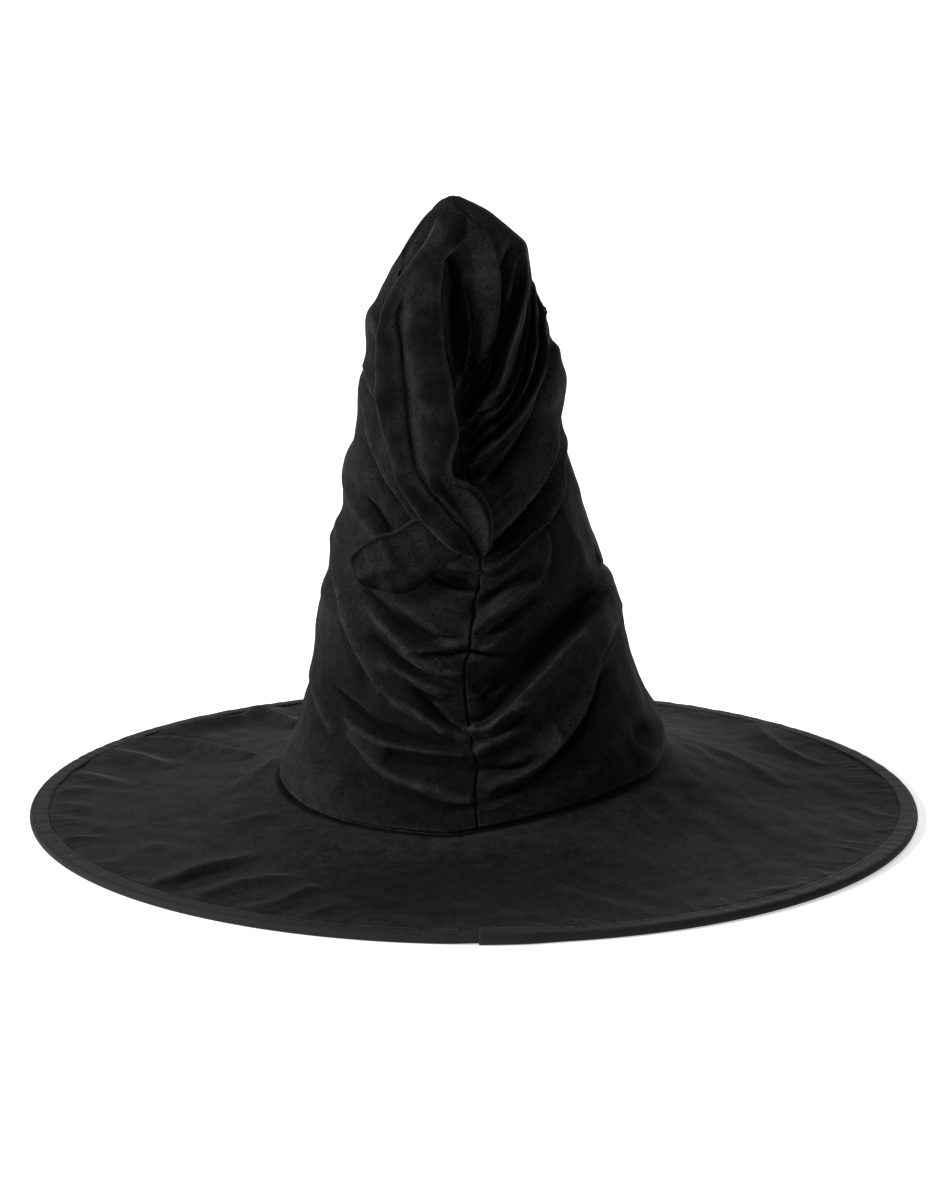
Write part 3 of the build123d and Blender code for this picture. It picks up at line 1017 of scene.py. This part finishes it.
def buildSweatband():
    angle, up = np.meshgrid(np.arange(480) / 480 * 2 * math.pi, np.linspace(0, inside["bandHeight"], 28))
    wave = 0.25 * ripples(np.stack([90 * np.sin(angle), 90 * np.cos(angle), up], -1), 30, 81)
    outer = bandSection(angle, up, inside["bandThick"])
    inner = bandSection(angle, up, 0)
    shift = unit(outer * [1, 1, 0]) * wave[..., None]
    return clothSolid("sweatBand", (outer + shift) * mm, (inner + shift) * mm)


def buildBandStitches():
    count = inside["bandStitches"]
    angle = np.arange(count) / count * 2 * math.pi
    centres = bandSection(angle, np.full(count, 2.2), -0.1)
    alongs = np.stack([np.cos(angle), np.sin(angle), 0 * angle], -1)
    ups = -unit(centres * [1, 1, 0])
    return stitchRow("bandStitches", centres * mm, alongs, ups, 2.2 * mm, 0.4 * mm, 0.3 * mm)


seamThread = {"low": 20.0, "high": 286.0, "pitch": 2.7, "stitch": 2.2, "wide": 0.45, "thick": 0.35}


def buildSeamStitches():
    # the back seam's stitches, on the inner face of the folded crown
    heights = np.arange(seamThread["low"], seamThread["high"], seamThread["pitch"])
    columns = np.r_[-130:100]
    places, outward = crownPoints[:, columns].reshape(-1, 3), crownNormals[:, columns].reshape(-1, 3)
    nearest = [int(np.argmin(((places - spot) ** 2).sum(1))) for spot in behindSeam(heights, 0)]
    centres = places[nearest] - outward[nearest] * (crown["thick"] + 0.1)
    alongs = unit(np.gradient(centres, axis=0))
    size = [seamThread[k] * mm for k in ("stitch", "wide", "thick")]
    return stitchRow("backSeamStitches", centres * mm, alongs, -outward[nearest], *size)


elastic = {
    "wide": 8.0,
    "thick": 0.8,
    "low": 58.0,
    "high": 286.0,
    "gap": 0.3,
    "ruck": 0.12,
    "ruckEvery": 3.2,
    "tacks": (60, 98, 142, 199, 284),
    "tackStitches": 5,
}


def elasticInset(height, share):
    # from its outer face at share 0 to its inner face at share 1
    ruck = elastic["ruck"] * np.sin(height * 2 * math.pi / elastic["ruckEvery"])
    return crownRoom(height) + crown["thick"] + elastic["gap"] + elastic["thick"] * share + ruck


def buildElastic():
    # the stretched tape that gathers the back seam, with its ends turned square
    heights = np.linspace(elastic["low"], elastic["high"], 420)
    across = np.linspace(-0.5, 0.5, 9) * elastic["wide"]
    ring = [(a, 0) for a in across] + [(a, 1) for a in across[::-1]]
    sections = np.stack([behindSeam(heights, elasticInset(heights, share), a) for a, share in ring], 1)
    return sweep("gatheringElastic", sections * mm)


def buildTacks():
    # a bar of close stitches across the elastic at each height
    count = elastic["tackStitches"]
    height = np.repeat(np.array(elastic["tacks"], float), count)
    across = np.tile(np.linspace(-0.33, 0.33, count) * elastic["wide"], len(elastic["tacks"]))
    centres = behindSeam(height, elasticInset(height, 1) + 0.1, across)
    upward = np.tile([0.0, 0.0, 1.0], (len(height), 1))
    inward = np.tile([0.0, 1.0, 0.0], (len(height), 1))
    return stitchRow("elasticTacks", centres * mm, upward, inward, 1.8 * mm, 0.6 * mm, 0.4 * mm)


label = {
    "wide": 24.0,
    "high": 38.0,
    "top": 86.0,
    "cloth": 0.3,
    "fold": 0.5,
    "away": 2.2,
    "swell": 0.9,
    "curl": 1.6,
}


def labelPlace(down, across, off):
    # down from the label's top, across it, and off the lining's inner face towards the middle of the hat
    height = label["top"] - down
    top = onCrown(-math.pi / 2, label["top"], liningInset(label["top"], -math.pi / 2) + label["away"])
    share = down / label["high"]
    curl = label["curl"] * share**2 * (1 - (2 * across / label["wide"]) ** 2)
    bow = label["swell"] * np.sin(share * math.pi) + curl
    return np.stack([top[0] + bow + off, top[1] + across, height + 0 * across], -1)


def buildLabel():
    # a blank woven label: one strip folded double at its foot, sewn in at its top
    down = np.linspace(0, label["high"], 34)
    turn = np.linspace(0, math.pi, 9)[1:-1]
    bend = label["fold"] + label["cloth"] / 2
    path = np.concatenate([
        np.stack([down, np.full(len(down), bend)], 1),
        np.stack([label["high"] + bend * np.sin(turn), bend * np.cos(turn)], 1),
        np.stack([down[::-1], np.full(len(down), -bend)], 1),
    ])
    along = unit(np.gradient(path, axis=0))
    side = np.stack([-along[:, 1], along[:, 0]], 1) * label["cloth"] / 2
    across = np.linspace(-0.5, 0.5, 15) * label["wide"]
    faces = [(a, 1) for a in across] + [(a, -1) for a in across[::-1]]
    spots = [(path + side * way, a) for a, way in faces]
    sections = np.stack([labelPlace(spot[:, 0], np.full(len(spot), a), spot[:, 1]) for spot, a in spots], 1)
    return sweep("careLabel", sections * mm)


def buildLabelStitches():
    # three stitches in each upper corner
    across = np.array([side * (label["wide"] / 2 - 1.5 - 2.4 * k) for side in (-1, 1) for k in range(3)])
    centres = labelPlace(np.full(6, 1.6), across, label["fold"] + label["cloth"] + 0.1)
    alongs = np.tile([0.0, 1.0, 0.0], (6, 1))
    ups = np.tile([1.0, 0.0, 0.0], (6, 1))
    return stitchRow("labelStitches", centres * mm, alongs, ups, 1.9 * mm, 0.4 * mm, 0.35 * mm)


# Finishes


def group(name, ins, outs):
    tree = bpy.data.node_groups.new(name, "ShaderNodeTree")
    for title, kind, value in ins:
        socket = tree.interface.new_socket(name=title, in_out="INPUT", socket_type="NodeSocket" + kind)
        if value is not None:
            socket.default_value = value
    for title, kind in outs:
        tree.interface.new_socket(name=title, in_out="OUTPUT", socket_type="NodeSocket" + kind)
    return tree, tree.nodes.new("NodeGroupInput"), tree.nodes.new("NodeGroupOutput")


def mathNode(tree, operation, a, b=None, clamp=False):
    node = tree.nodes.new("ShaderNodeMath")
    node.operation, node.use_clamp = operation, clamp
    for socket, value in zip(node.inputs, (a, b)):
        if value is None:
            continue
        if isinstance(value, (int, float)):
            socket.default_value = value
        else:
            tree.links.new(value, socket)
    return node.outputs[0]


def weighted(tree, first, share, second, otherShare):
    # two values added together, each in its own share
    parts = [mathNode(tree, "MULTIPLY", *part) for part in ((first, share), (second, otherShare))]
    return mathNode(tree, "ADD", *parts)


def noiseNode(tree, where, scale, detail=3.0, rough=0.5, stretch=None):
    if stretch:
        scaled = tree.nodes.new("ShaderNodeMapping")
        scaled.inputs["Scale"].default_value = stretch
        tree.links.new(where, scaled.inputs["Vector"])
        where = scaled.outputs["Vector"]
    noise = tree.nodes.new("ShaderNodeTexNoise")
    noise.inputs["Detail"].default_value = detail
    noise.inputs["Roughness"].default_value = rough
    if isinstance(scale, (int, float)):
        noise.inputs["Scale"].default_value = scale
    else:
        tree.links.new(scale, noise.inputs["Scale"])
    tree.links.new(where, noise.inputs["Vector"])
    return noise.outputs["Fac"]


def makeNapGroup():
    # short pile: brushed patches that catch the light, streaks where it was stroked, a fibre grain, and
    # painted shade and highlight from the hollow input
    tree, given, out = group(
        "napOfPile",
        [
            ("Place", "Vector", None),
            ("Patch Scale", "Float", 60.0),
            ("Fibre Scale", "Float", 900.0),
            ("Painted Shade And Highlight", "Float", 0.0),
        ],
        [("Brushed With Painted Light", "Float"), ("Height", "Float")],
    )
    where = given.outputs["Place"]
    patch = noiseNode(tree, where, given.outputs["Patch Scale"], 5.0, 0.65)
    streak = noiseNode(tree, where, given.outputs["Patch Scale"], 6.0, 0.75, (1.7, 1.7, 0.7))
    fibre = noiseNode(tree, where, given.outputs["Fibre Scale"], 2.0, 0.6)
    mixed = weighted(tree, patch, 0.3, streak, 0.24)
    mixed = mathNode(tree, "ADD", mixed, mathNode(tree, "MULTIPLY", fibre, 0.46))
    contrast = mathNode(tree, "MULTIPLY", mathNode(tree, "SUBTRACT", mixed, 0.34), 3.2, clamp=True)
    # painted light: the hollow input darkens the pile as painted shade and lightens it as painted highlight
    paintedLightShare = mathNode(tree, "SUBTRACT", 1.0, given.outputs["Painted Shade And Highlight"])
    contrast = mathNode(tree, "MULTIPLY", contrast, mathNode(tree, "MULTIPLY", paintedLightShare, 0.5), clamp=True)
    height = weighted(tree, fibre, 0.8, patch, 0.5)
    tree.links.new(contrast, out.inputs["Brushed With Painted Light"])
    tree.links.new(height, out.inputs["Height"])
    return tree


def makeRibGroup():
    # woven tape: fine ribs across it and a thread grain
    tree, given, out = group(
        "wovenRibs",
        [("Place", "Vector", None), ("Rib Scale", "Float", 900.0), ("Grain Scale", "Float", 1500.0)],
        [("Grain", "Float"), ("Height", "Float")],
    )
    apart = tree.nodes.new("ShaderNodeSeparateXYZ")
    tree.links.new(given.outputs["Place"], apart.inputs[0])
    turn = mathNode(tree, "ARCTAN2", apart.outputs["Y"], apart.outputs["X"])
    wave = mathNode(tree, "SINE", mathNode(tree, "MULTIPLY", turn, given.outputs["Rib Scale"]))
    rib = mathNode(tree, "ADD", mathNode(tree, "MULTIPLY", wave, 0.5), 0.5)
    grain = noiseNode(tree, given.outputs["Place"], given.outputs["Grain Scale"], 2.0, 0.6)
    height = weighted(tree, rib, 0.7, grain, 0.3)
    tree.links.new(grain, out.inputs["Grain"])
    tree.links.new(height, out.inputs["Height"])
    return tree


napGroup = makeNapGroup()
ribGroup = makeRibGroup()


def finish(name, roughness, sheen=0.0, sheenRough=0.4, sheenTint=(1, 1, 1, 1), specular=0.5, metallic=0.0):
    material = bpy.data.materials.new(name)
    material.use_nodes = True
    tree = material.node_tree
    shader = tree.nodes["Principled BSDF"]
    shader.inputs["Roughness"].default_value = roughness
    shader.inputs["Sheen Weight"].default_value = sheen
    shader.inputs["Sheen Roughness"].default_value = sheenRough
    shader.inputs["Sheen Tint"].default_value = sheenTint
    shader.inputs["Specular IOR Level"].default_value = specular
    shader.inputs["Metallic"].default_value = metallic
    place = tree.nodes.new("ShaderNodeTexCoord").outputs["Object"]
    return material, tree, shader, place


def useGroup(tree, shared, place, **values):
    node = tree.nodes.new("ShaderNodeGroup")
    node.node_tree = shared
    tree.links.new(place, node.inputs["Place"])
    for title, value in values.items():
        node.inputs[title].default_value = value
    return node


def colourBetween(tree, mask, dark, light, socket):
    mix = tree.nodes.new("ShaderNodeMix")
    mix.data_type = "RGBA"
    mix.inputs["A"].default_value = (*dark, 1)
    mix.inputs["B"].default_value = (*light, 1)
    tree.links.new(mask, mix.inputs["Factor"])
    tree.links.new(mix.outputs["Result"], socket)


def raised(tree, height, shader, strength, distance):
    bump = tree.nodes.new("ShaderNodeBump")
    bump.inputs["Strength"].default_value = strength
    bump.inputs["Distance"].default_value = distance
    tree.links.new(height, bump.inputs["Height"])
    tree.links.new(bump.outputs["Normal"], shader.inputs["Normal"])


velour = {
    "dark": (0.0003, 0.0003, 0.0003),
    "light": (0.046, 0.046, 0.0473),
    "sheen": 0.075,
    "sheenRough": 0.22,
    "bump": 0.8,
}


def makeVelour():
    material, tree, shader, place = finish(
        "blackVelour", 0.85, velour["sheen"], velour["sheenRough"], (0.78, 0.78, 0.80, 1), specular=0.05
    )
    nap = useGroup(tree, napGroup, place, **{"Patch Scale": 120.0, "Fibre Scale": 1000.0})
    # the hollow attribute brings painted shade and painted highlight into the pile's colour
    paintedShadeAndHighlight = tree.nodes.new("ShaderNodeAttribute")
    paintedShadeAndHighlight.attribute_name = "paintedShadeAndHighlight"
    tree.links.new(paintedShadeAndHighlight.outputs["Fac"], nap.inputs["Painted Shade And Highlight"])
    colourBetween(tree, nap.outputs["Brushed With Painted Light"], velour["dark"], velour["light"], shader.inputs["Base Color"])
    raised(tree, nap.outputs["Height"], shader, velour["bump"], 0.0006)
    return material


def makeTape(name, dark, light, ribs, sheen, roughness, specular):
    material, tree, shader, place = finish(name, roughness, sheen, 0.3, (0.85, 0.85, 0.87, 1), specular)
    weave = useGroup(tree, ribGroup, place, **{"Rib Scale": ribs, "Grain Scale": 1500.0})
    colourBetween(tree, weave.outputs["Grain"], dark, light, shader.inputs["Base Color"])
    raised(tree, weave.outputs["Height"], shader, 0.35, 0.00015)
    return material


def makeSteel():
    material, tree, shader, place = finish("springSteel", 0.32, metallic=1.0)
    grain = noiseNode(tree, place, 900.0, 3.0, 0.6)
    colourBetween(tree, grain, (0.38, 0.38, 0.40), (0.55, 0.55, 0.57), shader.inputs["Base Color"])
    raised(tree, grain, shader, 0.15, 0.0001)
    return material


def dress(piece, material):
    piece.data.materials.clear()
    piece.data.materials.append(material)


# Assembly

velourFinish = makeVelour()
tapes = {
    # dark, light, ribs round the hat, sheen, roughness, specular
    "satinTape": ((0.011, 0.011, 0.0115), (0.021, 0.021, 0.0215), 1400.0, 0.03, 0.72, 0.06),
    "grosgrain": ((0.008, 0.008, 0.008), (0.020, 0.020, 0.021), 520.0, 0.1, 0.5, 0.4),
    "liningCloth": ((0.006, 0.006, 0.0065), (0.016, 0.016, 0.017), 1900.0, 0.1, 0.42, 0.45),
    "sewingThread": ((0.003, 0.003, 0.003), (0.010, 0.010, 0.0105), 2600.0, 0.03, 0.6, 0.15),
    "stiffFelt": ((0.02, 0.02, 0.021), (0.05, 0.05, 0.052), 700.0, 0.1, 0.9, 0.2),
    "elasticTape": ((0.010, 0.010, 0.010), (0.030, 0.030, 0.031), 700.0, 0.1, 0.6, 0.3),
    "wovenLabel": ((0.62, 0.62, 0.60), (0.80, 0.80, 0.78), 2200.0, 0.1, 0.6, 0.3),
}
woven = {name: makeTape(name, *values) for name, values in tapes.items()}
steelFinish = makeSteel()

crownPiece, crownPoints, crownNormals = buildCrown()
tipPiece = buildTip()
endPiece = buildTipEnd()
topCover = buildTopCover()
stiffener, underCover = buildBrimLayers()
bindingPiece = buildBinding()
bindingStitches = buildBindingStitches()
liningPiece = buildLining()
bandPiece = buildSweatband()
bandStitches = buildBandStitches()
seamStitches = buildSeamStitches()
elasticPiece = buildElastic()
tackPiece = buildTacks()
labelPiece = buildLabel()
labelStitches = buildLabelStitches()
print("inner pieces: stitches, elastic, tacks, label")

placed = [
    (crownPiece, velourFinish, "velour", "crown_shell"),
    (topCover, velourFinish, "velour", "brim_top_cover"),
    (stiffener, woven["stiffFelt"], "stiffening", "brim_stiffener"),
    (underCover, woven["liningCloth"], "lining_cloth", "brim_underside_cover"),
    (bindingPiece, woven["satinTape"], "satin_tape", "brim_binding"),
    (bindingStitches, woven["sewingThread"], "thread", "binding_thread"),
    (liningPiece, woven["liningCloth"], "lining_cloth", "crown_lining"),
    (bandPiece, woven["grosgrain"], "grosgrain", "sweatband"),
    (bandStitches, woven["sewingThread"], "thread", "crown_seam_thread"),
    (seamStitches, woven["sewingThread"], "thread", "back_seam_thread"),
    (elasticPiece, woven["elasticTape"], "elastic_tape", "gathering_elastic"),
    (tackPiece, woven["sewingThread"], "thread", "elastic_tacks"),
    (labelPiece, woven["wovenLabel"], "label_tape", "care_label"),
    (labelStitches, woven["sewingThread"], "thread", "label_stitches"),
]
for piece, material, slot, node in placed:
    dress(piece, material)
    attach(piece, "hat")
    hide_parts(node)
dress(tipPiece, velourFinish)
dress(endPiece, velourFinish)
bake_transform(tipPiece)
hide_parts("crown_tip")
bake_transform(endPiece)
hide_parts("tip_end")
for name in ("brim_hoop_wire", "hoop_joining_sleeve"):
    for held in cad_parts[name].material_slots:
        held.material = steelFinish
# Floor, light and camera

stage = {
    "floorHalf": 9.0,
    "floorShade": 0.92,
    "floorGlow": 0.5,
    "sky": 0.06,
    "backdrop": 1.0,
    "key": {"place": (-1.5, -0.66, 0.85), "angle": 20, "strength": 3.4},
    "left": {"place": (-1.6, 0.2, 0.7), "angle": 30, "strength": 1.8},
    "back": {"place": (0.5, 1.6, 0.7), "angle": 50, "strength": 1.3},
    "top": {"place": (0.0, 0.0, 2.0), "angle": 60, "strength": 0.5},
}


def buildStage():
    edge = stage["floorHalf"]
    corners = [(-edge, -edge, 0), (edge, -edge, 0), (edge, edge, 0), (-edge, edge, 0)]
    floor = meshFrom("floor", corners, [(0, 1, 2, 3)])
    material = bpy.data.materials.new("paleFloor")
    material.use_nodes = True
    shader = material.node_tree.nodes["Principled BSDF"]
    shader.inputs["Base Color"].default_value = (stage["floorShade"],) * 3 + (1,)
    shader.inputs["Roughness"].default_value = 0.9
    shader.inputs["Emission Color"].default_value = (1, 1, 1, 1)
    shader.inputs["Emission Strength"].default_value = stage["floorGlow"]
    floor.data.materials.append(material)
    world = bpy.data.worlds.new("studio")
    world.use_nodes = True
    tree = world.node_tree
    seen = tree.nodes.new("ShaderNodeLightPath").outputs["Is Camera Ray"]
    whiter = mathNode(tree, "MULTIPLY", seen, stage["backdrop"] - stage["sky"])
    sky = mathNode(tree, "ADD", whiter, stage["sky"])
    tree.nodes["Background"].inputs["Color"].default_value = (1, 1, 1, 1)
    tree.links.new(sky, tree.nodes["Background"].inputs["Strength"])
    bpy.context.scene.world = world
    bpy.context.scene.view_settings.view_transform = "Standard"


def addSun(name, place, angle, strength):
    light = bpy.data.lights.new(name, "SUN")
    light.energy = strength
    light.angle = math.radians(angle)
    lamp = bpy.data.objects.new(name, light)
    lamp.location = place
    lamp.rotation_euler = (-Vector(place)).to_track_quat("-Z", "Y").to_euler()
    bpy.context.scene.collection.objects.link(lamp)


def addCamera():
    view = {"aim": (0.0006, 0.0, 0.1065), "distance": 2.0, "elevation": 13.226, "lens": 121.9}
    elevation = math.radians(view["elevation"])
    data = bpy.data.cameras.new("camera")
    data.lens = view["lens"]
    camera = bpy.data.objects.new("camera", data)
    aim = Vector(view["aim"])
    camera.location = aim + view["distance"] * Vector((0, -math.cos(elevation), math.sin(elevation)))
    camera.rotation_euler = (aim - camera.location).to_track_quat("-Z", "Y").to_euler()
    bpy.context.scene.collection.objects.link(camera)
    bpy.context.scene.camera = camera


buildStage()
for name in ("key", "left", "back", "top"):
    addSun(name + "Light", **stage[name])
addCamera()
print("stage set")
